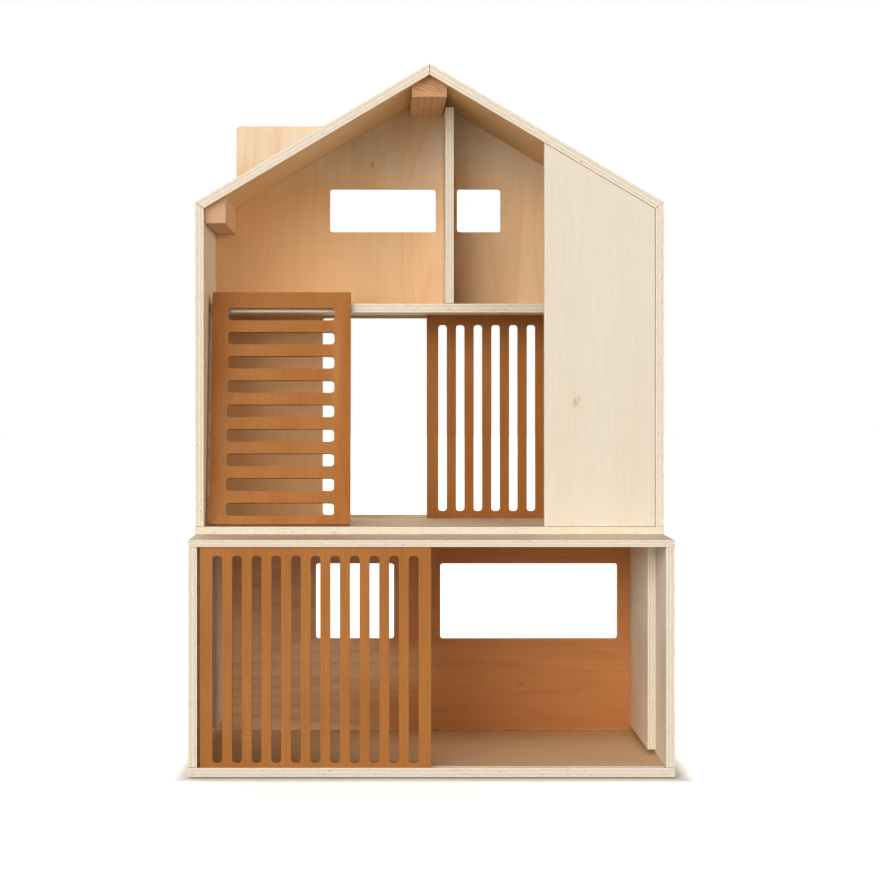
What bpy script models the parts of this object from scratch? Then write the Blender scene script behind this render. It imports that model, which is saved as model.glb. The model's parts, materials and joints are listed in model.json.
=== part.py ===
"""A two-module wooden dollhouse in plywood.

The base is an open box with two rear windows and a slatted sliding door. The house stands on it,
set back from its front: it has a gabled roof, an attic shelf with a partition, a fixed front panel,
a second slatted sliding door in front of its rear opening, and a slatted ladder that leans on the
shelf. Hidden dowels hold the boards that meet at right angles.
"""

import math

import bmesh
import bpy
from mathutils import Matrix, Vector

# Driving dimensions, in metres. X runs to the right, Y to the back and Z up. The origin is at the
# centre of the base's underside.
WIDTH = 0.488
DEPTH = 0.240
PLY = 0.009  # side walls, back walls, base floor, front panel and partition
GAP = 0.0003  # left between pieces that touch
CLEARANCE = 0.0003  # on each side of a door in its groove

# Base module
BASE_H = 0.2374
BASE_FLOOR_T = 0.0092
BASE_TOP_T = 0.0070
BASE_BACK_INSET = 0.011  # from the rear edges to the back wall
LINING_T = 0.0085
LINING_LEFT_SETBACK, LINING_LEFT_LIFT = 0.142, 0.0155  # from the base's front; foot above the floor
LINING_RIGHT_SETBACK, LINING_RIGHT_LIFT = 0.072, 0.0053

# House module. Its heights are measured from its own underside.
HOUSE_SETBACK = 0.076  # from the base's front
HOUSE_FLOOR_T = 0.0076
EAVE_H = 0.3453
APEX_H = 0.4899
ROOF_T = 0.0100
SHELF_TOP = 0.2428
SHELF_T = 0.0095
SHELF_SETBACK = 0.067  # from the house's front
PARTITION_X = 0.0187  # its left face
PARTITION_TOP = 0.4536
FRONT_PANEL_X = 0.1194  # its left edge
PANEL_RECESS = 0.0006
BEAM_SETBACK = 0.0101  # ridge beam and battens, from the house's front
BEAM_HALF_W = 0.0182
BEAM_BOTTOM = 0.4563
BATTEN_W = 0.0222
BATTEN_BOTTOM = 0.3243
CHIMNEY_LEFT, CHIMNEY_RIGHT = -0.212, -0.112
CHIMNEY_TOP = 0.4446
CHIMNEY_RADIUS = 0.005

# Windows and the rear opening, as (left, bottom, right, top) in their module's heights
BASE_WINDOWS = ((-0.1229, 0.1110, -0.0360, 0.1950), (0.0153, 0.1110, 0.2125, 0.1950))
ATTIC_WINDOWS = ((-0.1075, 0.3263, 0.0110, 0.3748), (0.0343, 0.3263, 0.0834, 0.3748))
REAR_OPENING = (-0.1157, 0.0103, 0.2220, 0.2303)
WINDOW_RADIUS = 0.003

# Slatted doors, both alike
DOOR_W = 0.2320
DOOR_H = 0.2290
DOOR_T = 0.0060
DOOR_SLOTS = 11
DOOR_SLOT_W = 0.0097
DOOR_SLOT_PITCH = 0.0197
DOOR_SLOT_LENGTH = 0.2073
DOOR_BOTTOM_MARGIN = 0.0091
SLOT_RADIUS = 0.0035
DOOR_CORNER_RADIUS = 0.001
LOWER_DOOR_LEFT = -0.2323
LOWER_DOOR_LIP = 0.0026  # board left in front of the lower door
LOWER_GROOVE_DEPTH = 0.0047
TOP_GROOVE_DEPTH = 0.0038
UPPER_DOOR_LEFT = 0.0006
UPPER_DOOR_TO_BACK = 0.002  # from the upper door to the rear wall
UPPER_GROOVE_DEPTH = 0.0018
SHELF_GROOVE_DEPTH = 0.0040

# Ladder
LADDER_W = 0.1482
LADDER_LENGTH = 0.2496
LADDER_T = 0.0060
LADDER_LEFT = -0.2309
LADDER_SLOTS = 9
LADDER_SLOT_LENGTH = 0.1134
LADDER_SLOT_H = 0.0135
LADDER_SLOT_PITCH = 0.0262
LADDER_BOTTOM_MARGIN = 0.0093
LADDER_FOOT_SETBACK = 0.0250  # from the house's front to the ladder's rear bottom edge

# Dowels
DOWEL_R = 0.0025
DOWEL_HOLE_R = 0.0027
DOWEL_SIDES = 16
DOWEL_IN_FACE = 0.0045  # depth in the board whose face it enters
DOWEL_IN_EDGE = 0.0200  # depth in the board whose edge it enters
BASE_DOWELS_Y = (-0.085, 0.060)
HOUSE_DOWELS_Y = (-0.015, 0.080)
SHELF_DOWELS_Y = (0.045, 0.085)

ARC_STEPS = 4  # straight runs in a quarter circle

# Worked out from the dimensions above
HALF_W = WIDTH / 2
INNER_X = HALF_W - PLY
BASE_FRONT = -DEPTH / 2
BASE_REAR = DEPTH / 2
BASE_TOP_UNDER = BASE_H - BASE_TOP_T
BASE_BACK_Y = BASE_REAR - BASE_BACK_INSET - PLY  # front face of the base's back wall
HOUSE_Z = BASE_H + GAP
HOUSE_FRONT = BASE_FRONT + HOUSE_SETBACK
HOUSE_BACK_Y = BASE_REAR - PLY  # front face of the house's back wall
ROOF_SLOPE = (APEX_H - EAVE_H) / HALF_W
ROOF_DROP = ROOF_T * math.sqrt(1 + ROOF_SLOPE**2)  # the roof's thickness, measured upright
SHELF_FRONT = HOUSE_FRONT + SHELF_SETBACK
SHELF_UNDER = SHELF_TOP - SHELF_T
LOWER_DOOR_Y = BASE_FRONT + LOWER_DOOR_LIP + DOOR_T / 2
LOWER_DOOR_Z = BASE_FLOOR_T - LOWER_GROOVE_DEPTH + CLEARANCE
UPPER_DOOR_Y = HOUSE_BACK_Y - UPPER_DOOR_TO_BACK - DOOR_T / 2
UPPER_DOOR_Z = HOUSE_FLOOR_T - UPPER_GROOVE_DEPTH + CLEARANCE

BIRCH = (0.80, 0.66, 0.46)
BIRCH_WARM = (0.74, 0.55, 0.34)
CARAMEL = (0.50, 0.23, 0.065)
BEECH = (0.66, 0.45, 0.27)

PARTS = "wooden_dollhouse"
CUTTERS = "cutters"


def clear_scene():
    for obj in list(bpy.data.objects):
        bpy.data.objects.remove(obj, do_unlink=True)


def new_collection(name):
    collection = bpy.data.collections.new(name)
    bpy.context.scene.collection.children.link(collection)
    return collection


def new_group(name, z):
    """An empty that carries one module's pieces."""
    empty = bpy.data.objects.new(name, None)
    empty.location.z = z
    bpy.data.collections[PARTS].objects.link(empty)
    return empty


def wood(name, colour, roughness):
    material = bpy.data.materials.new(name)
    material.use_nodes = True
    shader = material.node_tree.nodes["Principled BSDF"]
    shader.inputs["Base Color"].default_value = (*colour, 1.0)
    shader.inputs["Roughness"].default_value = roughness
    shader.inputs["Metallic"].default_value = 0.0
    return material


def finish_part(obj, group, colour, roughness=0.55):
    obj.data.materials.append(wood(obj.name, colour, roughness))
    obj.parent = group
    return obj


# Shapes


def mesh_object(name, shape, collection):
    """The bmesh as an object, with its faces turned outwards."""
    bmesh.ops.recalc_face_normals(shape, faces=shape.faces)
    mesh = bpy.data.meshes.new(name)
    shape.to_mesh(mesh)
    shape.free()
    obj = bpy.data.objects.new(name, mesh)
    bpy.data.collections[collection].objects.link(obj)
    return obj


def block(name, low, high, collection=PARTS):
    """A box between two corners, with its origin at its centre."""
    low, high = Vector(low), Vector(high)
    shape = bmesh.new()
    bmesh.ops.create_cube(shape, size=1.0)
    bmesh.ops.scale(shape, vec=high - low, verts=shape.verts)
    obj = mesh_object(name, shape, collection)
    obj.location = (low + high) / 2
    return obj


def rod(name, start, end, radius, collection=PARTS):
    """A round rod between two points."""
    start, end = Vector(start), Vector(end)
    shape = bmesh.new()
    bmesh.ops.create_cone(
        shape,
        cap_ends=True,
        segments=DOWEL_SIDES,
        radius1=radius,
        radius2=radius,
        depth=(end - start).length,
    )
    obj = mesh_object(name, shape, collection)
    obj.data.shade_smooth()
    obj.data.set_sharp_from_angle(angle=math.radians(40))
    turn = (end - start).to_track_quat("Z", "Y")
    obj.matrix_basis = Matrix.Translation((start + end) / 2) @ turn.to_matrix().to_4x4()
    return obj


def rounded(corners):
    """The outline through corners of (x, z, radius), each turned into an arc of its radius."""
    points = []
    for i, (x, z, radius) in enumerate(corners):
        corner = Vector((x, z))
        if radius == 0:
            points.append(corner)
            continue
        before = (Vector(corners[i - 1][:2]) - corner).normalized()
        after = (Vector(corners[(i + 1) % len(corners)][:2]) - corner).normalized()
        half_angle = before.angle(after) / 2
        centre = corner + (before + after).normalized() * radius / math.sin(half_angle)
        first = corner + before * radius / math.tan(half_angle) - centre
        last = corner + after * radius / math.tan(half_angle) - centre
        sweep = first.angle_signed(last)
        for step in range(ARC_STEPS + 1):
            turn = Matrix.Rotation(-sweep * step / ARC_STEPS, 2)
            points.append(centre + turn @ first)
    return points


def rounded_rectangle(left, bottom, right, top, radius):
    corners = ((left, bottom), (right, bottom), (right, top), (left, top))
    return rounded([(x, z, radius) for x, z in corners])


def plate(name, outline, holes, thickness):
    """A flat board in the XZ plane, centred on Y = 0, cut to an outline with holes through it."""
    curve = bpy.data.curves.new(name + "_outline", "CURVE")
    curve.dimensions = "2D"
    curve.fill_mode = "BOTH"
    curve.extrude = thickness / 2
    for loop in (outline, *holes):
        spline = curve.splines.new("POLY")
        spline.points.add(len(loop) - 1)
        for point, (x, z) in zip(spline.points, loop):
            point.co = (x, z, 0.0, 1.0)
        spline.use_cyclic_u = True
    guide = bpy.data.objects.new(name + "_guide", curve)
    bpy.context.scene.collection.objects.link(guide)
    flat = guide.evaluated_get(bpy.context.evaluated_depsgraph_get())
    shape = bmesh.new()
    cut_out = bpy.data.meshes.new_from_object(flat)
    shape.from_mesh(cut_out)
    bpy.data.meshes.remove(cut_out)
    bpy.data.objects.remove(guide)
    bmesh.ops.remove_doubles(shape, verts=shape.verts, dist=1e-6)
    bmesh.ops.rotate(shape, matrix=Matrix.Rotation(math.pi / 2, 3, "X"), verts=shape.verts)
    return mesh_object(name, shape, PARTS)


def cross_board(name, outline, front, rear, holes=()):
    """A board cut to an outline seen from the front, between two Y planes."""
    obj = plate(name, outline, holes, rear - front)
    obj.location.y = (front + rear) / 2
    return obj


# Cuts


def cut(target, cutter):
    cutter.hide_render = True
    cutter.display_type = "WIRE"
    cutter.parent = target.parent
    modifier = target.modifiers.new(cutter.name, "BOOLEAN")
    modifier.operation = "DIFFERENCE"
    modifier.object = cutter


def cut_groove(board, name, y, surface, depth, reach_x):
    """A groove for a door in a board's surface, cut upwards where its depth is negative."""
    half_w = DOOR_T / 2 + CLEARANCE
    past = math.copysign(0.002, depth)  # the cutter starts outside the board
    low_z, high_z = sorted((surface - depth, surface + past))
    cut(board, block(name, (-reach_x, y - half_w, low_z), (reach_x, y + half_w, high_z), CUTTERS))


def add_dowel(name, joint, axis, face_board, edge_board, group):
    """A dowel across the joint face at a point, with its blind hole in each of the two boards.

    axis points from the board whose face it enters into the board whose edge it enters.
    """
    joint, axis = Vector(joint), Vector(axis)
    face_end, edge_end = joint - axis * DOWEL_IN_FACE, joint + axis * DOWEL_IN_EDGE
    dowel = rod(name, face_end, edge_end, DOWEL_R)
    finish_part(dowel, group, BEECH, 0.6)
    room = axis * GAP
    for board in (face_board, edge_board):
        hole_name = f"{name}_hole_{board.name}"
        cut(board, rod(hole_name, face_end - room, edge_end + room, DOWEL_HOLE_R, CUTTERS))


# Pieces shared by both modules


def slatted_door(name, left, y, bottom, group):
    """A thin board with upright slots, with its origin at its centre."""
    outline = rounded_rectangle(
        -DOOR_W / 2, -DOOR_H / 2, DOOR_W / 2, DOOR_H / 2, DOOR_CORNER_RADIUS
    )
    slot_bottom = DOOR_BOTTOM_MARGIN - DOOR_H / 2
    slots = []
    for i in range(DOOR_SLOTS):
        middle = (i - (DOOR_SLOTS - 1) / 2) * DOOR_SLOT_PITCH
        slots.append(
            rounded_rectangle(
                middle - DOOR_SLOT_W / 2,
                slot_bottom,
                middle + DOOR_SLOT_W / 2,
                slot_bottom + DOOR_SLOT_LENGTH,
                SLOT_RADIUS,
            )
        )
    door = plate(name, outline, slots, DOOR_T)
    door.location = (left + DOOR_W / 2, y, bottom + DOOR_H / 2)
    return finish_part(door, group, CARAMEL, 0.5)


# Base module


def make_base():
    group = new_group("base", 0.0)
    floor = block(
        "base_floor", (-HALF_W, BASE_FRONT, 0.0), (HALF_W, BASE_REAR, BASE_FLOOR_T)
    )
    top = block(
        "base_top", (-HALF_W, BASE_FRONT, BASE_TOP_UNDER), (HALF_W, BASE_REAR, BASE_H)
    )
    for board in (floor, top):
        finish_part(board, group, BIRCH)

    low, high = BASE_FLOOR_T + GAP, BASE_TOP_UNDER - GAP
    sides = (
        ("left", -1, LINING_LEFT_SETBACK, LINING_LEFT_LIFT),
        ("right", 1, LINING_RIGHT_SETBACK, LINING_RIGHT_LIFT),
    )
    for side, sign, setback, lift in sides:
        wall_x = sorted((sign * INNER_X, sign * HALF_W))
        wall = block(
            f"base_wall_{side}", (wall_x[0], BASE_FRONT, low), (wall_x[1], BASE_REAR, high)
        )
        finish_part(wall, group, BIRCH)
        lining_x = sorted((sign * (INNER_X - GAP - LINING_T), sign * (INNER_X - GAP)))
        lining = block(
            f"base_lining_{side}",
            (lining_x[0], BASE_FRONT + setback, BASE_FLOOR_T + lift),
            (lining_x[1], BASE_BACK_Y - GAP, high),
        )
        finish_part(lining, group, BIRCH_WARM)
        joint_x = sign * (INNER_X + PLY / 2)
        for place, y in zip(("front", "rear"), BASE_DOWELS_Y):
            where = f"{side}_{place}"
            add_dowel(
                f"base_dowel_lower_{where}", (joint_x, y, BASE_FLOOR_T), (0, 0, 1), floor, wall, group
            )
            add_dowel(
                f"base_dowel_upper_{where}", (joint_x, y, BASE_TOP_UNDER), (0, 0, -1), top, wall, group
            )

    back_outline = rounded_rectangle(-INNER_X + GAP, low, INNER_X - GAP, high, 0)
    windows = [rounded_rectangle(*window, WINDOW_RADIUS) for window in BASE_WINDOWS]
    back = cross_board(
        "base_back_wall", back_outline, BASE_BACK_Y, BASE_BACK_Y + PLY, windows
    )
    finish_part(back, group, BIRCH_WARM)

    reach = INNER_X - GAP
    cut_groove(
        floor, "lower_groove", LOWER_DOOR_Y, BASE_FLOOR_T, LOWER_GROOVE_DEPTH, reach
    )
    cut_groove(
        top, "upper_groove", LOWER_DOOR_Y, BASE_TOP_UNDER, -TOP_GROOVE_DEPTH, reach
    )
    slatted_door("lower_slat_door", LOWER_DOOR_LEFT, LOWER_DOOR_Y, LOWER_DOOR_Z, group)


# House module


def roof_top(x):
    return APEX_H - ROOF_SLOPE * abs(x)


def roof_under(x):
    return roof_top(x) - ROOF_DROP


def house_shell(group, floor):
    """Walls mitred into the roof at the eaves, and roof boards mitred at the ridge."""
    walls = []
    rear = HOUSE_BACK_Y - GAP
    for side, sign in (("left", -1), ("right", 1)):
        wall_outline = [
            (sign * INNER_X, HOUSE_FLOOR_T + GAP),
            (sign * HALF_W, HOUSE_FLOOR_T + GAP),
            (sign * HALF_W, EAVE_H - GAP),
            (sign * INNER_X, roof_under(INNER_X) - GAP),
        ]
        wall = cross_board(f"house_wall_{side}", wall_outline, HOUSE_FRONT, rear)
        roof_outline = [
            (sign * GAP / 2, roof_under(GAP / 2)),
            (sign * INNER_X, roof_under(INNER_X)),
            (sign * HALF_W, EAVE_H),
            (sign * GAP / 2, roof_top(GAP / 2)),
        ]
        roof = cross_board(f"roof_{side}", roof_outline, HOUSE_FRONT, rear)
        for board in (wall, roof):
            finish_part(board, group, BIRCH)
        for place, y in zip(("front", "rear"), HOUSE_DOWELS_Y):
            joint = (sign * (INNER_X + PLY / 2), y, HOUSE_FLOOR_T)
            add_dowel(f"house_dowel_{side}_{place}", joint, (0, 0, 1), floor, wall, group)
        walls.append((side, sign, wall))
    return walls


def house_back_wall(group):
    """The rear board, with the chimney, two attic windows and the lower opening in one piece."""
    outline = rounded(
        [
            (-HALF_W, 0.0, 0),
            (HALF_W, 0.0, 0),
            (HALF_W, EAVE_H, 0),
            (0.0, APEX_H, 0),
            (CHIMNEY_RIGHT, roof_top(CHIMNEY_RIGHT), 0),
            (CHIMNEY_RIGHT, CHIMNEY_TOP, CHIMNEY_RADIUS),
            (CHIMNEY_LEFT, CHIMNEY_TOP, CHIMNEY_RADIUS),
            (CHIMNEY_LEFT, roof_top(CHIMNEY_LEFT), 0),
            (-HALF_W, EAVE_H, 0),
        ]
    )
    openings = (*ATTIC_WINDOWS, REAR_OPENING)
    holes = [rounded_rectangle(*opening, WINDOW_RADIUS) for opening in openings]
    back = cross_board("house_back_wall", outline, HOUSE_BACK_Y, BASE_REAR, holes)
    finish_part(back, group, BIRCH_WARM)


def attic(group, walls):
    """The shelf that makes the attic's floor, its dowels into the walls, and the partition."""
    rear = HOUSE_BACK_Y - GAP
    reach = INNER_X - GAP
    shelf = block(
        "attic_shelf", (-reach, SHELF_FRONT, SHELF_UNDER), (reach, rear, SHELF_TOP)
    )
    finish_part(shelf, group, BIRCH)
    cut_groove(
        shelf, "shelf_groove", UPPER_DOOR_Y, SHELF_UNDER, -SHELF_GROOVE_DEPTH, reach + 0.002
    )
    middle_z = SHELF_TOP - SHELF_T / 2
    for side, sign, wall in walls:
        for place, y in zip(("front", "rear"), SHELF_DOWELS_Y):
            joint = (sign * INNER_X, y, middle_z)
            add_dowel(f"shelf_dowel_{side}_{place}", joint, (-sign, 0, 0), wall, shelf, group)
    partition = block(
        "attic_partition",
        (PARTITION_X, SHELF_FRONT, SHELF_TOP + GAP),
        (PARTITION_X + PLY, rear, PARTITION_TOP),
    )
    finish_part(partition, group, BIRCH)


def roof_timbers(group):
    """The ridge beam under the apex and a batten in each eave corner."""
    front, rear = HOUSE_FRONT + BEAM_SETBACK, HOUSE_BACK_Y - GAP
    beam_side_top = roof_under(BEAM_HALF_W) - GAP
    beam_outline = [
        (-BEAM_HALF_W, BEAM_BOTTOM),
        (BEAM_HALF_W, BEAM_BOTTOM),
        (BEAM_HALF_W, beam_side_top),
        (0.0, roof_under(0.0) - GAP),
        (-BEAM_HALF_W, beam_side_top),
    ]
    finish_part(cross_board("ridge_beam", beam_outline, front, rear), group, BEECH)
    outer_x = INNER_X - GAP
    inner_x = INNER_X - BATTEN_W
    for side, sign in (("left", -1), ("right", 1)):
        outline = [
            (sign * inner_x, BATTEN_BOTTOM),
            (sign * outer_x, BATTEN_BOTTOM),
            (sign * outer_x, roof_under(outer_x) - GAP),
            (sign * inner_x, roof_under(inner_x) - GAP),
        ]
        batten = cross_board(f"eave_batten_{side}", outline, front, rear)
        finish_part(batten, group, BEECH)


def front_panel(group):
    """The fixed panel that closes the right of the front, up to the roof."""
    right = INNER_X - GAP
    outline = [
        (FRONT_PANEL_X, HOUSE_FLOOR_T + GAP),
        (right, HOUSE_FLOOR_T + GAP),
        (right, roof_under(right) - GAP),
        (FRONT_PANEL_X, roof_under(FRONT_PANEL_X) - GAP),
    ]
    front = HOUSE_FRONT + PANEL_RECESS
    finish_part(cross_board("front_panel", outline, front, front + PLY), group, BIRCH)


def ladder(group):
    """A slatted board that stands on the house's floor and leans on the shelf's front edge.

    Its origin is in the middle of its rear bottom edge, which it stands on.
    """
    foot_y = HOUSE_FRONT + LADDER_FOOT_SETBACK
    foot_z = HOUSE_FLOOR_T + GAP
    lean = math.atan2(SHELF_FRONT - GAP - foot_y, SHELF_TOP - foot_z)
    outline = rounded_rectangle(
        -LADDER_W / 2, 0.0, LADDER_W / 2, LADDER_LENGTH, DOOR_CORNER_RADIUS
    )
    slots = []
    for i in range(LADDER_SLOTS):
        bottom = LADDER_BOTTOM_MARGIN + i * LADDER_SLOT_PITCH
        slots.append(
            rounded_rectangle(
                -LADDER_SLOT_LENGTH / 2,
                bottom,
                LADDER_SLOT_LENGTH / 2,
                bottom + LADDER_SLOT_H,
                SLOT_RADIUS,
            )
        )
    board = plate("ladder", outline, slots, LADDER_T)
    board.data.transform(Matrix.Translation((0, -LADDER_T / 2, 0)))
    board.location = (LADDER_LEFT + LADDER_W / 2, foot_y, foot_z)
    board.rotation_euler.x = -lean
    finish_part(board, group, CARAMEL, 0.5)


def make_house():
    group = new_group("house", HOUSE_Z)
    floor = block(
        "house_floor",
        (-HALF_W, HOUSE_FRONT, 0.0),
        (HALF_W, HOUSE_BACK_Y - GAP, HOUSE_FLOOR_T),
    )
    finish_part(floor, group, BIRCH)
    cut_groove(
        floor, "house_groove", UPPER_DOOR_Y, HOUSE_FLOOR_T, UPPER_GROOVE_DEPTH, INNER_X - GAP
    )
    walls = house_shell(group, floor)
    house_back_wall(group)
    attic(group, walls)
    roof_timbers(group)
    front_panel(group)
    slatted_door("upper_slat_door", UPPER_DOOR_LEFT, UPPER_DOOR_Y, UPPER_DOOR_Z, group)
    ladder(group)


def main():
    clear_scene()
    new_collection(PARTS)
    new_collection(CUTTERS).hide_render = True
    make_base()
    make_house()


main()
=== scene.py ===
"""The looks of a wooden dollhouse: its woods and paint, a rough-sawn ridge beam, studio light and camera.

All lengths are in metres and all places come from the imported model. A board is described by the
direction through its thickness and the direction of its grain, so that one function can give it its
face veneer, its plies on the edges and its worn arrises.
"""

import json
import math

import bmesh
import bpy
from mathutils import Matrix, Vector, noise

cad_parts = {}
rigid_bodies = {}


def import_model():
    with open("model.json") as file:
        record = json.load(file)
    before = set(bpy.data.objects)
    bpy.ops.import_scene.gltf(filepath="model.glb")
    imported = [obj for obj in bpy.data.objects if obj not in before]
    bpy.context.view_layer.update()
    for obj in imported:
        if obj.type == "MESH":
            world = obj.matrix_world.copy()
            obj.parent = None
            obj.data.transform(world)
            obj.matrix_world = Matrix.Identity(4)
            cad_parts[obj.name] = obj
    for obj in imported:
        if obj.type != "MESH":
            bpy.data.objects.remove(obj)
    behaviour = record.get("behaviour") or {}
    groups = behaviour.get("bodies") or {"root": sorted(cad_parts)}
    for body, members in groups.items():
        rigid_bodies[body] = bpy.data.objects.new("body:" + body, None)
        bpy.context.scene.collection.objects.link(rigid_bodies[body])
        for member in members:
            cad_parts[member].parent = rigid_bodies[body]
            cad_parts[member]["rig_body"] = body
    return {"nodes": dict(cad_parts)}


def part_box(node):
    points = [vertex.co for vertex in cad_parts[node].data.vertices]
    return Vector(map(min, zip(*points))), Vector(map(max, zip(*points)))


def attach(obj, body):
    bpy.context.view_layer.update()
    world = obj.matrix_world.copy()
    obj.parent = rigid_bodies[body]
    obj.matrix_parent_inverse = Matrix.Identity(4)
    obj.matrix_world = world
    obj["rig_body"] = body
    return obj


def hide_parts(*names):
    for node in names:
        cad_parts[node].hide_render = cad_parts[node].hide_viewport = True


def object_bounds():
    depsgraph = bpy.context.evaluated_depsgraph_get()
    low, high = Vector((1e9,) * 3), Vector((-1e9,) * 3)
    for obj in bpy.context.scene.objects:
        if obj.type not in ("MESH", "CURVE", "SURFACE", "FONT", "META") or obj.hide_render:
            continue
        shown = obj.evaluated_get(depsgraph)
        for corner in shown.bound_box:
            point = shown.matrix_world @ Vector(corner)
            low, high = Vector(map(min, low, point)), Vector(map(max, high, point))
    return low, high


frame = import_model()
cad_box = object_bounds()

NODES = frame["nodes"]

X, Y, Z = Vector((1, 0, 0)), Vector((0, 1, 0)), Vector((0, 0, 1))

# Camera: level, looking along +Y, with its framing made by the shift
CAMERA_PLACE = (-0.0516, -2.120, 0.3867)
LENS_MM = 81.78
CAMERA_SHIFT = (0.0677, -0.0552)

# Light. Each sun is (azimuth left of the camera's axis, elevation, softness) in degrees, strength.
MAIN_SUN = (22, 13, 44, 1.55)
SIDE_SUN = (64, 12, 30, 0.55)
FILL_SUN = (-54, 8, 26, 0.95)
BACK_SUN = (160, 50, 50, 0.95)
SKY_LIGHT = 0.36
SKY_COLOUR = (1.0, 0.88, 0.73)  # warm: it stands in for light thrown from board to board
FLOOR_GREY = 0.85
FOOT_GLOW, FAR_GLOW = 0.05, 0.62  # of the floor, beside the object's foot and away from it
GLOW_REACH = 0.026
FLOOR_DROP = 0.0015  # of the floor under the object's foot, for a dark line there
FLOOR_SIZE = 30
PICTURE_GAMMA = 0.74  # below 1, it deepens the shaded woods as a product picture does

# Rounded arrises
PLY_ROUNDING = 0.0005
PAINT_ROUNDING = 0.0007
DOWEL_ROUNDING = 0.0003
WELD_REACH = 1e-5  # joins the split corners of a loaded mesh
FLAT_ANGLE = math.radians(1)  # faces closer than this to one plane are merged
SHARP_ANGLE = math.radians(30)  # sharper edges than this are rounded

# Veneers: (light wood, darker growth lines, pale plies, dim plies), linear colours
CREAM = ((0.87, 0.82, 0.74), (0.83, 0.75, 0.62), (0.93, 0.89, 0.81), (0.87, 0.79, 0.67))
BLUSH = ((0.92, 0.82, 0.68), (0.87, 0.74, 0.58), (0.93, 0.89, 0.81), (0.87, 0.79, 0.67))
# SAND, HONEY, TAN and RUSSET, on the inner boards and the roof, are warmer and darker partly as their own
# wood and partly as painted shade.
SAND = ((0.91, 0.73, 0.51), (0.84, 0.64, 0.42), (0.93, 0.89, 0.81), (0.87, 0.79, 0.67))
HONEY = ((0.91, 0.70, 0.44), (0.85, 0.60, 0.35), (0.93, 0.89, 0.81), (0.87, 0.79, 0.67))
TAN = ((0.86, 0.60, 0.35), (0.79, 0.50, 0.26), (0.92, 0.80, 0.61), (0.78, 0.61, 0.40))
RUSSET = ((0.70, 0.37, 0.16), (0.61, 0.29, 0.11), (0.90, 0.76, 0.55), (0.74, 0.55, 0.34))

CARAMEL = (0.52, 0.245, 0.066)
CARAMEL_DEEP = (0.48, 0.215, 0.052)
CARAMEL_RUBBED = (0.60, 0.31, 0.095)

# Board, direction through it, direction of its grain, veneer, and how strong its figure is
BOARDS = (
    ("base_floor", Z, X, SAND, 0.5),
    ("base_top", Z, X, BLUSH, 0.5),
    ("base_wall_left", X, Y, CREAM, 0.3),
    ("base_wall_right", X, Y, CREAM, 0.3),
    ("base_back_wall", Y, X, RUSSET, 0.5),
    ("base_lining_left", X, Z, CREAM, 0.35),
    ("base_lining_right", X, Z, CREAM, 0.35),
    ("house_floor", Z, X, BLUSH, 0.5),
    ("house_wall_left", X, Z, CREAM, 0.4),
    ("house_wall_right", X, Z, CREAM, 0.4),
    ("house_back_wall", Y, Z, TAN, 0.3),
    ("attic_shelf", Z, X, BLUSH, 0.5),
    ("attic_partition", X, Z, CREAM, 0.4),
    ("front_panel", Y, Z, CREAM, 0.3),
)
ROOF_BOARDS = (("roof_left", -1), ("roof_right", 1))
PLY_COUNT = 5

# Paler stretches: board, then for each the direction, where it starts and is full, its colour.
# The two along X are partly paler wood and partly painted light that the suns don't give; the one along Z
# is painted light on the wall's top and the chimney.
PALER_WOOD_AND_PAINTED_LIGHT = {
    "base_back_wall": ((X, 0.010, -0.100, (0.97, 0.77, 0.55)),),
    "house_back_wall": (
        (X, -0.200, 0.040, (0.98, 0.78, 0.55)),
        (Z, 0.590, 0.650, (0.93, 0.86, 0.74)),
    ),
}

# Knots: board, the knot's centre in (x, z), its radius
KNOTS = {
    "front_panel": ((0.153, 0.375), 0.0030),
    "base_back_wall": ((0.103, 0.061), 0.0014),
    "house_back_wall": ((-0.060, 0.640), 0.0012),
}

# How fine each pattern is, per metre (across, through and along the grain)
VENEER_FIELD = (11, 11, 1.5)
VENEER_TONE = (14, 14, 2.2)
VENEER_FIBRES = (620, 620, 16)
VENEER_PORES = (1500, 1500, 90)
VENEER_RINGS = 15.0  # growth lines for each unit of the field
KNOT_EDGE = (420, 420, 160)
KNOT_STRETCH = 0.62  # of a knot's length along the grain: below 1 draws it out
PLY_WANDER = 40.0
PLY_STREAKS = (130, 2600, 130)
PLY_CELLS = (1500, 1500, 1500)
PLY_VOIDS = (160, 900, 160)
ARRIS_RUB = (60, 60, 60)
ARRIS_REACH = (0.0004, 0.0026)  # how far wear spreads from an arris, in metres
LOG_WOBBLE = (45, 45, 5)
LOG_FIBRES = (900, 900, 30)
END_TEARS = (110.0, 1.7, 90.0)  # sideways, outwards in rings, along the log
PAINT_POOLS = (22, 22, 9)
PAINT_GRAIN = (420, 420, 14)
PAINT_STIPPLE = (1700, 1700, 1700)
PAINT_DUST = (260, 260, 260)
RUBBED_PATCHES = (85, 85, 85)
RUBBED_STIPPLE = (1200, 1200, 1200)
RUBBED_SEED = (3, 1, 7)

PAINTED = ("lower_slat_door", "upper_slat_door", "ladder")

# Solid wood: (light wood, darker growth lines), and each log's pith as an offset in x and z
BATTENS = ("eave_batten_left", "eave_batten_right")
BATTEN_WOOD = ((0.85, 0.61, 0.43), (0.72, 0.46, 0.28))
BATTEN_PITH = (-0.030, 0.022)  # from the batten's lower x and upper z
DOWEL_WOOD = ((0.74, 0.53, 0.34), (0.60, 0.38, 0.21))
DOWEL_PITH = 0.014  # from the dowel's middle, along every axis
BEAM = "ridge_beam"
BEAM_WOOD = ((0.93, 0.67, 0.43), (0.50, 0.25, 0.12))
BEAM_PITH = (-0.012, -0.060)  # from the beam's lower x and lower z

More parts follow.
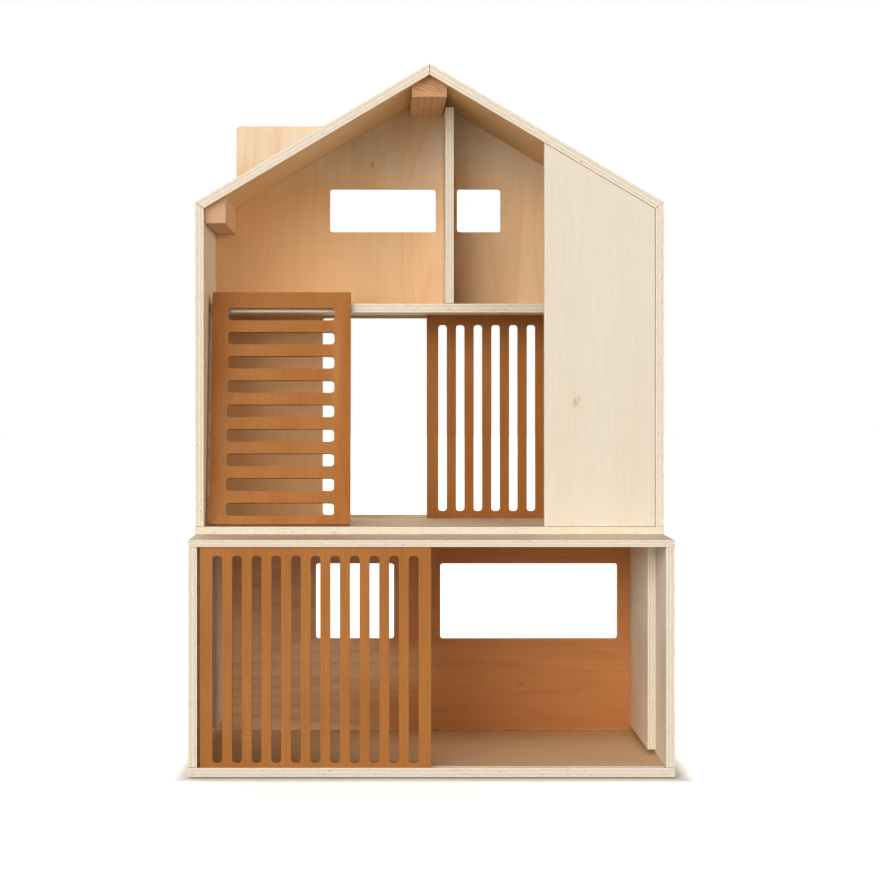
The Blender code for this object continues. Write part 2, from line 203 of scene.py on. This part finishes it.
# The beam's sawn end: spacing of its grid, how deep it is torn, and how fine the tears are
SAWN_GRID = 0.0007
SAWN_DEPTH = 0.0008
TEARS_ALONG, TEARS_ACROSS, TEAR_SLANT = 110, 620, 0.45
CHATTER_SCALE, CHATTER_DEPTH = 700, 0.12
FACING_FRONT = -0.99  # y of the normal of a face that belongs to the end
CUT_REACH = 1e-6


# Shader nodes


class Shader:
    """Builds one material's node tree. A socket argument is another node's output or a constant."""

    def __init__(self, name):
        self.material = bpy.data.materials.new(name)
        self.material.use_nodes = True
        self.tree = self.material.node_tree
        self.surface = self.tree.nodes["Principled BSDF"]
        place = self.add("ShaderNodeTexCoord")
        self.point, self.normal = place.outputs["Object"], place.outputs["Normal"]

    def add(self, kind, **settings):
        node = self.tree.nodes.new(kind)
        for key, value in settings.items():
            setattr(node, key, value)
        return node

    def plug(self, socket, value):
        if isinstance(value, bpy.types.NodeSocket):
            self.tree.links.new(value, socket)
        elif value is not None:
            socket.default_value = value

    def math(self, operation, a, b=None, clamp=False):
        node = self.add("ShaderNodeMath", operation=operation, use_clamp=clamp)
        for socket, value in zip(node.inputs, (a, b)):
            self.plug(socket, value)
        return node.outputs[0]

    def length(self, a, b):
        squares = self.math("ADD", self.math("POWER", a, 2.0), self.math("POWER", b, 2.0))
        return self.math("SQRT", squares)

    def dot(self, vector, direction):
        node = self.add("ShaderNodeVectorMath", operation="DOT_PRODUCT")
        self.plug(node.inputs[0], vector)
        node.inputs[1].default_value = direction
        return node.outputs["Value"]

    def vector(self, x, y, z):
        node = self.add("ShaderNodeCombineXYZ")
        for socket, value in zip(node.inputs, (x, y, z)):
            self.plug(socket, value)
        return node.outputs[0]

    def scaled(self, vector, scale, offset=(0, 0, 0)):
        node = self.add("ShaderNodeVectorMath", operation="MULTIPLY_ADD")
        self.plug(node.inputs[0], vector)
        node.inputs[1].default_value = scale
        node.inputs[2].default_value = offset
        return node.outputs[0]

    def noise(self, vector, detail=2.0, roughness=0.5, distortion=0.0):
        node = self.add("ShaderNodeTexNoise")
        self.plug(node.inputs["Vector"], vector)
        node.inputs["Scale"].default_value = 1.0
        node.inputs["Detail"].default_value = detail
        node.inputs["Roughness"].default_value = roughness
        node.inputs["Distortion"].default_value = distortion
        return node.outputs["Fac"]

    def span(self, value, low, high, to_low=0.0, to_high=1.0):
        """The value smoothly mapped from one span to another, and held at its ends."""
        node = self.add("ShaderNodeMapRange", interpolation_type="SMOOTHSTEP")
        for key, number in (("Value", value), ("From Min", low), ("From Max", high)):
            self.plug(node.inputs[key], number)
        node.inputs["To Min"].default_value = to_low
        node.inputs["To Max"].default_value = to_high
        return node.outputs["Result"]

    def blend(self, factor, a, b, how="MIX"):
        node = self.add("ShaderNodeMix", data_type="RGBA", blend_type=how)
        sockets = {s.identifier: s for s in node.inputs}
        self.plug(sockets["Factor_Float"], factor)
        for key, value in (("A_Color", a), ("B_Color", b)):
            colour = (*value, 1.0) if isinstance(value, tuple) else value
            self.plug(sockets[key], colour)
        return next(s for s in node.outputs if s.identifier == "Result_Color")

    def shaded(self, colour, level):
        """The colour made darker or lighter by a level around 1."""
        return self.blend(1.0, colour, self.vector(level, level, level), "MULTIPLY")

    def either(self, factor, a, b):
        """A number between two others."""
        node = self.add("ShaderNodeMix", data_type="FLOAT")
        for socket, value in zip((node.inputs[0], node.inputs[2], node.inputs[3]), (factor, a, b)):
            self.plug(socket, value)
        return node.outputs[0]

    def ramp(self, value, *stops):
        """Grey levels at places along the value."""
        node = self.add("ShaderNodeValToRGB")
        elements = node.color_ramp.elements
        while len(elements) < len(stops):
            elements.new(0.5)
        for element, (place, level) in zip(elements, stops):
            element.position = place
            element.color = (level, level, level, 1.0)
        self.plug(node.inputs[0], value)
        return node.outputs[0]

    def bump(self, height, distance, strength=1.0):
        node = self.add("ShaderNodeBump")
        self.plug(node.inputs["Height"], height)
        node.inputs["Distance"].default_value = distance
        node.inputs["Strength"].default_value = strength
        self.plug(self.surface.inputs["Normal"], node.outputs[0])

    def finish(self, colour, roughness, specular=0.35):
        self.plug(self.surface.inputs["Base Color"], colour)
        self.plug(self.surface.inputs["Roughness"], roughness)
        self.surface.inputs["Specular IOR Level"].default_value = specular
        return self.material


def times(colour, factor):
    return tuple(c * factor for c in colour)


def seed_of(name):
    """A place in the noise that belongs to one board, so that no two boards share a pattern."""
    return tuple(sum(ord(c) * (i + k) for i, c in enumerate(name)) % 97 * 0.37 for k in (1, 5, 11))


# Wood


def extent(node, direction):
    """Lowest and highest place of a CAD node along a direction."""
    places = [v.co.dot(direction) for v in NODES[node].data.vertices]
    return min(places), max(places)


def edge_distance(shader, node, directions, places):
    """How far a surface point is from the nearest arris of the board's box.

    A point on a face is at distance 0 from that face, so the arris is the second nearest face.
    """
    gaps = []
    for direction, place in zip(directions, places):
        low, high = extent(node, direction)
        from_middle = shader.math("ABSOLUTE", shader.math("SUBTRACT", place, (low + high) / 2))
        gaps.append(shader.math("SUBTRACT", (high - low) / 2, from_middle))
    a, b, c = gaps
    nearer, further = shader.math("MINIMUM", a, b), shader.math("MAXIMUM", a, b)
    return shader.math("MAXIMUM", nearer, shader.math("MINIMUM", further, c))


def knot_pull(shader, node, across, along):
    """How strongly the node's knot bends the grain, and the knot's own distance, if it has one."""
    (x, z), radius = KNOTS[node]
    place = Vector((x, 0, z))
    thickness, grain = next((t, g) for n, t, g, _, _ in BOARDS if n == node)
    beside = shader.math("SUBTRACT", across, place.dot(thickness.cross(grain)))
    ahead = shader.math("MULTIPLY", shader.math("SUBTRACT", along, place.dot(grain)), KNOT_STRETCH)
    distance = shader.math("DIVIDE", shader.length(beside, ahead), radius)
    return shader.span(distance, 0.4, 7.0, 1.0, 0.0), distance


def knot_colour(shader, colour, line, distance, place, seed):
    """A ragged brown heart in a faint halo."""
    rough = shader.noise(shader.scaled(place, KNOT_EDGE, seed))
    distance = shader.math("ADD", distance, shader.span(rough, 0.3, 0.7, -0.7, 0.7))
    heart = shader.span(distance, 0.0, 1.4, 0.50, 0.0)
    halo = shader.span(distance, 0.5, 3.8, 0.42, 0.0)
    colour = shader.blend(halo, colour, line)
    return shader.blend(heart, colour, (line[0] * 0.72, line[1] * 0.56, line[2] * 0.38))


def paler_wood_and_painted_light(shader, node, light, tone):
    """The light wood's colour, paler across the board's stretches with an uneven border; the paler
    stretches are partly the wood's own and partly painted light.
    """
    for direction, start, full, pale in PALER_WOOD_AND_PAINTED_LIGHT.get(node, ()):
        reach = shader.math("ADD", shader.dot(shader.point, tuple(direction)),
                            shader.span(tone, 0.3, 0.7, -0.02, 0.02))
        if full < start:
            paler = shader.span(reach, full, start, 1.0, 0.0)
        else:
            paler = shader.span(reach, start, full)
        light = shader.blend(paler, light, pale)
    return light


def face_veneer(shader, node, across, through, along, veneer, figure):
    """Rotary-cut veneer: drawn-out growth lines, broad tone, fibres and short pores."""
    light, line = veneer[0], veneer[1]
    seed = seed_of(node)
    place = shader.vector(across, through, along)
    field = shader.noise(shader.scaled(place, VENEER_FIELD, seed), detail=1.5, distortion=0.25)
    distance = None
    if node in KNOTS:
        pull, distance = knot_pull(shader, node, across, along)
        field = shader.math("ADD", field, shader.math("MULTIPLY", pull, 0.16))
    rings = shader.math("FRACT", shader.math("MULTIPLY", field, VENEER_RINGS))
    growth = shader.ramp(rings, (0.0, 0.05), (0.62, 0.35), (0.88, 1.0), (1.0, 0.05))
    tone = shader.noise(shader.scaled(place, VENEER_TONE, seed[::-1]), detail=2.0)
    fibres = shader.noise(shader.scaled(place, VENEER_FIBRES, seed), detail=3.0, roughness=0.65)
    pores = shader.noise(shader.scaled(place, VENEER_PORES, seed), detail=1.0)
    pore_mask = shader.span(pores, 0.64, 0.74)

    amount = shader.math("MULTIPLY", growth, 0.62 * figure)
    light = paler_wood_and_painted_light(shader, node, light, tone)
    colour = shader.blend(amount, light, line)
    colour = shader.blend(shader.span(tone, 0.35, 0.70, 0.0, 0.40), colour, line)
    shade = shader.span(fibres, 0.30, 0.70, 1.0 - 0.09 * figure, 1.0 + 0.04 * figure)
    colour = shader.shaded(colour, shade)
    pore_shade = shader.math("MULTIPLY", pore_mask, 0.22 * figure)
    colour = shader.blend(pore_shade, colour, times(line, 0.55))
    if distance is not None:
        colour = knot_colour(shader, colour, line, distance, place, seed)
    height = shader.math("SUBTRACT", fibres, shader.math("MULTIPLY", pore_mask, 0.8))
    return colour, height


def ply_edge(shader, node, across, through, along, thickness, veneer):
    """The plies on a board's edges: long-grain plies are pale, end-grain ones dim and open."""
    pale, dim = veneer[2], veneer[3]
    seed = seed_of(node)
    low, high = extent(node, thickness)
    wander = shader.noise(shader.vector(shader.math("MULTIPLY", across, PLY_WANDER), seed[0],
                                        shader.math("MULTIPLY", along, PLY_WANDER)), detail=2.0)
    depth = shader.math("DIVIDE", shader.math("SUBTRACT", through, low), (high - low) / PLY_COUNT)
    depth = shader.math("ADD", depth, shader.span(wander, 0.2, 0.8, -0.11, 0.11))
    # 0 in the middle of each pale ply and 1 in the middle of each dim one
    swing = shader.math("PINGPONG", shader.math("SUBTRACT", depth, 0.5), 1.0)
    dim_mask = shader.span(swing, 0.42, 0.58)
    glue = shader.span(shader.math("ABSOLUTE", shader.math("SUBTRACT", swing, 0.5)),
                       0.01, 0.07, 0.34, 0.0)
    place = shader.vector(across, through, along)
    streaks = shader.noise(shader.scaled(place, PLY_STREAKS, seed), detail=2.0)
    cells = shader.noise(shader.scaled(place, PLY_CELLS, seed), detail=2.0)
    voids = shader.noise(shader.scaled(place, PLY_VOIDS, seed[::-1]), detail=1.0)
    void_mask = shader.math("MULTIPLY", shader.span(voids, 0.70, 0.76), dim_mask)

    colour = shader.blend(dim_mask, pale, dim)
    long_shade = shader.span(streaks, 0.3, 0.7, 0.88, 1.05)
    end_shade = shader.span(cells, 0.3, 0.7, 0.89, 1.05)
    shade = shader.blend(dim_mask, shader.vector(long_shade, long_shade, long_shade),
                         shader.vector(end_shade, end_shade, end_shade))
    colour = shader.blend(1.0, colour, shade, "MULTIPLY")
    colour = shader.blend(glue, colour, times(dim, 0.45))
    colour = shader.blend(void_mask, colour, times(dim, 0.45))
    height = shader.math("SUBTRACT", shader.math("MULTIPLY", cells, dim_mask), glue)
    height = shader.math("SUBTRACT", height, shader.math("MULTIPLY", void_mask, 2.0))
    return colour, height


def plywood(node, thickness, grain, veneer, figure):
    shader = Shader(f"plywood_{node}")
    side = thickness.cross(grain)
    directions = (side, thickness, grain)
    across, through, along = (shader.dot(shader.point, tuple(d)) for d in directions)
    facing = shader.math("ABSOLUTE", shader.dot(shader.normal, tuple(thickness)))
    face_mask = shader.span(facing, 0.60, 0.80)
    face, face_height = face_veneer(shader, node, across, through, along, veneer, figure)
    edge, edge_height = ply_edge(shader, node, across, through, along, thickness, veneer)
    colour = shader.blend(face_mask, edge, face)

    rub = shader.noise(shader.scaled(shader.point, ARRIS_RUB, seed_of(node)), detail=3.0)
    reach = shader.span(rub, 0.35, 0.7, *ARRIS_REACH)
    arris = edge_distance(shader, node, directions, (across, through, along))
    wear = shader.math("SUBTRACT", 1.0, shader.math("DIVIDE", arris, reach), clamp=True)
    rubbed = tuple(min(1.0, c * 1.05) for c in veneer[2])
    colour = shader.blend(shader.math("MULTIPLY", wear, 0.40), colour, rubbed)

    shader.bump(shader.either(face_mask, edge_height, face_height), 0.00012, 0.55)
    roughness = shader.span(rub, 0.3, 0.7, 0.50, 0.62)
    roughness = shader.math("SUBTRACT", roughness, shader.math("MULTIPLY", wear, 0.10))
    return shader.finish(colour, roughness)


def solid_wood(
    name, grain, pith, wood, ring=0.0021, side_lines=0.85, end_lines=0.85, rays=0.0
):
    """Wood cut from a log whose pith runs along the grain, so its end shows arcs and its sides lines.

    ring is the width of a growth ring, side_lines and end_lines how dark the lines are on the sides
    and the ends, and rays how dark the torn fibres on the ends are.
    """
    light, line = wood
    shader = Shader(name)
    seed = seed_of(name)
    across_dir = grain.cross(X if abs(grain.x) < 0.9 else Z)
    other_dir = grain.cross(across_dir)
    a, b, along = (shader.dot(shader.point, tuple(d)) for d in (across_dir, other_dir, grain))
    place = shader.vector(a, b, along)
    wobble = shader.noise(shader.scaled(place, LOG_WOBBLE, seed), detail=2.0)
    u = shader.math("SUBTRACT", a, Vector(pith).dot(across_dir))
    v = shader.math("SUBTRACT", b, Vector(pith).dot(other_dir))
    radius = shader.math("DIVIDE", shader.length(u, v), ring)
    radius = shader.math("ADD", radius, shader.math("MULTIPLY", wobble, 2.4))
    growth = shader.ramp(shader.math("FRACT", radius), (0.0, 0.0), (0.6, 0.3), (0.9, 1.0), (1.0, 0.0))
    fibres = shader.noise(shader.scaled(place, LOG_FIBRES, seed), detail=3.0, roughness=0.6)
    ends = shader.span(shader.math("ABSOLUTE", shader.dot(shader.normal, tuple(grain))), 0.6, 0.85)
    strength = shader.span(ends, 0.0, 1.0, side_lines, end_lines)
    colour = shader.blend(shader.math("MULTIPLY", growth, strength), light, line)
    shade = shader.span(fibres, 0.3, 0.7, 0.91, 1.04)
    colour = shader.shaded(colour, shade)
    colour = shader.blend(shader.math("MULTIPLY", ends, 0.16), colour, times(line, 0.7))
    if rays:
        # Torn bundles of fibre, drawn out along a slant across the end
        slant = shader.vector(
            *(shader.math("MULTIPLY", v, scale) for v, scale in zip((u, radius, along), END_TEARS))
        )
        torn = shader.math("MULTIPLY", shader.span(shader.noise(slant, detail=3.0), 0.45, 0.66), ends)
        colour = shader.blend(shader.math("MULTIPLY", torn, rays), colour, line)
    relief = shader.math("MULTIPLY", growth, shader.span(ends, 0.0, 1.0, 0.10, 0.60))
    shader.bump(shader.math("SUBTRACT", fibres, relief), 0.00015, 0.6)
    return shader.finish(colour, shader.span(fibres, 0.3, 0.7, 0.52, 0.66))


# Paint


def paint(name, grain, base, deep):
    """Satin paint on a thin board: a roller's stipple over faint grain, pooled a little unevenly."""
    shader = Shader(name)
    seed = seed_of(name)
    side = Y.cross(grain)
    place = shader.vector(
        shader.dot(shader.point, tuple(side)),
        shader.dot(shader.point, tuple(Y)),
        shader.dot(shader.point, tuple(grain)),
    )
    pool = shader.noise(shader.scaled(place, PAINT_POOLS, seed), detail=3.0)
    telegraph = shader.noise(shader.scaled(place, PAINT_GRAIN, seed), detail=2.0)
    stipple = shader.noise(shader.scaled(place, PAINT_STIPPLE, seed), detail=2.0)
    dust = shader.noise(shader.scaled(place, PAINT_DUST, seed[::-1]), detail=1.0)
    speck = shader.span(dust, 0.74, 0.78)
    colour = shader.blend(shader.span(pool, 0.35, 0.65, 0.0, 0.75), base, deep)
    shade = shader.span(telegraph, 0.3, 0.7, 0.95, 1.03)
    colour = shader.shaded(colour, shade)
    colour = shader.blend(shader.math("MULTIPLY", speck, 0.2), colour, CARAMEL_RUBBED)
    height = shader.math("ADD", stipple, shader.math("MULTIPLY", telegraph, 0.8))
    shader.bump(height, 0.00006, 0.5)
    roughness = shader.span(pool, 0.3, 0.7, 0.38, 0.50)
    return shader.finish(colour, roughness, specular=0.45)


def rubbed_paint():
    """Paint on the arrises, thin enough in places for the board to show."""
    shader = Shader("caramel_paint_rubbed")
    patches = shader.noise(shader.scaled(shader.point, RUBBED_PATCHES, RUBBED_SEED), detail=4.0)
    fine = shader.noise(shader.scaled(shader.point, RUBBED_STIPPLE, RUBBED_SEED), detail=2.0)
    colour = shader.blend(shader.span(patches, 0.48, 0.72, 0.10, 0.85), CARAMEL, CARAMEL_RUBBED)
    shader.bump(fine, 0.00006, 0.6)
    return shader.finish(colour, shader.span(patches, 0.3, 0.7, 0.36, 0.52), specular=0.45)


# Meshes


def round_arrises(obj, width, worn=False):
    """Welds the loaded mesh, merges its flat triangles and rounds its sharp edges."""
    weld = obj.modifiers.new("weld", "WELD")
    weld.merge_threshold = WELD_REACH
    flat = obj.modifiers.new("flat_faces", "DECIMATE")
    flat.decimate_type = "DISSOLVE"
    flat.angle_limit = FLAT_ANGLE
    bevel = obj.modifiers.new("arrises", "BEVEL")
    bevel.width = width
    bevel.segments = 2
    bevel.limit_method = "ANGLE"
    bevel.angle_limit = SHARP_ANGLE
    bevel.harden_normals = True
    if worn:
        bevel.material = 1


def dress(obj, *materials):
    """The object takes these materials in place of those that it came with."""
    obj.data.materials.clear()
    for material in materials:
        obj.data.materials.append(material)


def dress_boards():
    for name, thickness, grain, veneer, figure in BOARDS:
        dress(NODES[name], plywood(name, thickness, grain, veneer, figure))
        round_arrises(NODES[name], PLY_ROUNDING)


def dress_roof():
    """The roof boards slope, so their directions come from the slope of their upper edges."""
    for name, side in ROOF_BOARDS:
        eave = max((v.co for v in NODES[name].data.vertices), key=lambda p: side * p.x)
        ridge = max((v.co for v in NODES[name].data.vertices), key=lambda p: p.z)
        slope = Vector((ridge.x - eave.x, 0, ridge.z - eave.z)).normalized()
        thickness = Y.cross(slope).normalized()
        dress(NODES[name], plywood(name, thickness, slope, HONEY, 0.4))
        round_arrises(NODES[name], PLY_ROUNDING)


def dress_timbers():
    for name in BATTENS:
        low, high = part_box(name)
        pith = (low.x + BATTEN_PITH[0], 0, high.z + BATTEN_PITH[1])
        material = solid_wood(
            f"solid_{name}", Y, pith, BATTEN_WOOD, side_lines=0.35, end_lines=0.40
        )
        dress(NODES[name], material)
        round_arrises(NODES[name], PLY_ROUNDING)
    for name in sorted(NODES):
        if "dowel" not in name:
            continue
        low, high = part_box(name)
        size = high - low
        axis = (X, Y, Z)[max(range(3), key=lambda i: size[i])]
        pith = (low + high) / 2 + Vector((DOWEL_PITH, DOWEL_PITH, DOWEL_PITH))
        material = solid_wood(f"solid_{name}", axis, pith, DOWEL_WOOD, ring=0.0014)
        dress(NODES[name], material)
        round_arrises(NODES[name], DOWEL_ROUNDING)


def dress_painted():
    rubbed = rubbed_paint()
    for name in PAINTED:
        material = paint(f"caramel_paint_{name}", Z, CARAMEL, CARAMEL_DEEP)
        dress(NODES[name], material, rubbed)
        round_arrises(NODES[name], PAINT_ROUNDING, worn=True)


def front_faces(shape):
    return [f for f in shape.faces if f.normal.y < FACING_FRONT]


def cut_front_into_grid(shape, low, high):
    for direction, start, end in ((X, low.x, high.x), (Z, low.z, high.z)):
        steps = round((end - start) / SAWN_GRID)
        for i in range(1, steps):
            front = front_faces(shape)
            around = {e for f in front for e in f.edges} | {v for f in front for v in f.verts}
            bmesh.ops.bisect_plane(
                shape,
                geom=[*front, *around],
                plane_co=direction * (start + (end - start) * i / steps),
                plane_no=direction,
                dist=CUT_REACH,
            )


def tear_front(shape):
    """Pushes the front's inner points back by a slanted, drawn-out noise with fine saw chatter."""
    inside = [
        v for v in shape.verts if v.link_faces and all(f.normal.y < FACING_FRONT for f in v.link_faces)
    ]
    for vert in inside:
        x, _, z = vert.co
        slant = Vector(((x + TEAR_SLANT * z) * TEARS_ALONG, z * TEARS_ACROSS, 0))
        torn = noise.fractal(slant, 1.0, 2.0, 3) * 0.5 + 0.5
        fine = noise.noise(Vector((x * CHATTER_SCALE, z * CHATTER_SCALE, 3.7)))
        vert.co.y += SAWN_DEPTH * min(1.0, max(0.0, torn + fine * CHATTER_DEPTH))


def rough_sawn_beam():
    """The ridge beam again, with a torn, saw-cut front end as real relief."""
    source = NODES[BEAM]
    low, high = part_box(BEAM)
    shape = bmesh.new()
    shape.from_mesh(source.data)
    bmesh.ops.remove_doubles(shape, verts=shape.verts, dist=WELD_REACH)
    bmesh.ops.dissolve_limit(
        shape, angle_limit=FLAT_ANGLE, verts=shape.verts, edges=shape.edges
    )
    cut_front_into_grid(shape, low, high)
    tear_front(shape)
    mesh = bpy.data.meshes.new("ridge_beam_sawn")
    shape.to_mesh(mesh)
    shape.free()
    beam = bpy.data.objects.new("ridge_beam_sawn", mesh)
    bpy.context.scene.collection.objects.link(beam)
    pith = (low.x + BEAM_PITH[0], 0, low.z + BEAM_PITH[1])
    material = solid_wood(
        "solid_ridge_beam", Y, pith, BEAM_WOOD,
        ring=0.0025, side_lines=0.30, end_lines=0.95, rays=0.45,
    )
    beam.data.materials.append(material)
    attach(beam, source["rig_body"])
    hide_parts(BEAM)


# Stage


def floor_glow(shader):
    """The floor's own light, weaker beside the object's foot so that a contact shadow shows."""
    low, high = cad_box
    gaps = []
    for axis, direction in enumerate((X, Y)):
        middle, half = (low[axis] + high[axis]) / 2, (high[axis] - low[axis]) / 2
        offset = shader.math("SUBTRACT", shader.dot(shader.point, tuple(direction)), middle)
        gaps.append(shader.math("SUBTRACT", shader.math("ABSOLUTE", offset), half))
    gap = shader.math("MAXIMUM", *gaps)
    return shader.span(gap, 0.0, GLOW_REACH, FOOT_GLOW, FAR_GLOW)


def make_floor():
    bpy.ops.mesh.primitive_plane_add(size=FLOOR_SIZE, location=(0, 0, -FLOOR_DROP))
    floor = bpy.context.object
    floor.name = "studio_floor"
    shader = Shader("studio_floor")
    sockets = shader.surface.inputs
    sockets["Base Color"].default_value = (FLOOR_GREY, FLOOR_GREY, FLOOR_GREY, 1)
    sockets["Roughness"].default_value = 0.8
    sockets["Specular IOR Level"].default_value = 0.1
    sockets["Emission Color"].default_value = (1, 1, 1, 1)
    shader.plug(sockets["Emission Strength"], floor_glow(shader))
    floor.data.materials.append(shader.material)
    floor.visible_diffuse = False  # the boards facing down are lit by the even sky light only


def make_sun(name, azimuth, elevation, softness, strength):
    light = bpy.data.lights.new(name, "SUN")
    light.energy = strength
    light.angle = math.radians(softness)
    sun = bpy.data.objects.new(name, light)
    bpy.context.scene.collection.objects.link(sun)
    a, e = math.radians(azimuth), math.radians(elevation)
    towards = Vector((-math.sin(a) * math.cos(e), -math.cos(a) * math.cos(e), math.sin(e)))
    sun.rotation_mode = "QUATERNION"
    sun.rotation_quaternion = towards.to_track_quat("Z", "Y")


def make_world():
    """Even sky light, with the background that the camera sees kept plain white."""
    world = bpy.data.worlds.new("studio")
    bpy.context.scene.world = world
    world.use_nodes = True
    tree = world.node_tree
    seen = tree.nodes["Background"]
    seen.inputs["Color"].default_value = (1, 1, 1, 1)
    seen.inputs["Strength"].default_value = 1.0
    lighting = tree.nodes.new("ShaderNodeBackground")
    lighting.inputs["Color"].default_value = (*SKY_COLOUR, 1)
    lighting.inputs["Strength"].default_value = SKY_LIGHT
    path = tree.nodes.new("ShaderNodeLightPath")
    either = tree.nodes.new("ShaderNodeMixShader")
    tree.links.new(path.outputs["Is Camera Ray"], either.inputs[0])
    tree.links.new(lighting.outputs[0], either.inputs[1])
    tree.links.new(seen.outputs[0], either.inputs[2])
    tree.links.new(either.outputs[0], tree.nodes["World Output"].inputs["Surface"])


def make_camera():
    data = bpy.data.cameras.new("camera")
    data.lens = LENS_MM
    data.shift_x, data.shift_y = CAMERA_SHIFT
    camera = bpy.data.objects.new("camera", data)
    bpy.context.scene.collection.objects.link(camera)
    camera.location = CAMERA_PLACE
    camera.rotation_euler = (math.radians(90), 0, 0)
    bpy.context.scene.camera = camera


def make_stage():
    make_floor()
    make_sun("main_sun", *MAIN_SUN)
    make_sun("side_sun", *SIDE_SUN)
    make_sun("fill_sun", *FILL_SUN)
    make_sun("back_sun", *BACK_SUN)
    make_world()
    make_camera()
    bpy.context.scene.view_settings.view_transform = "Standard"
    bpy.context.scene.view_settings.gamma = PICTURE_GAMMA


dress_boards()
dress_roof()
dress_timbers()
dress_painted()
rough_sawn_beam()
make_stage()
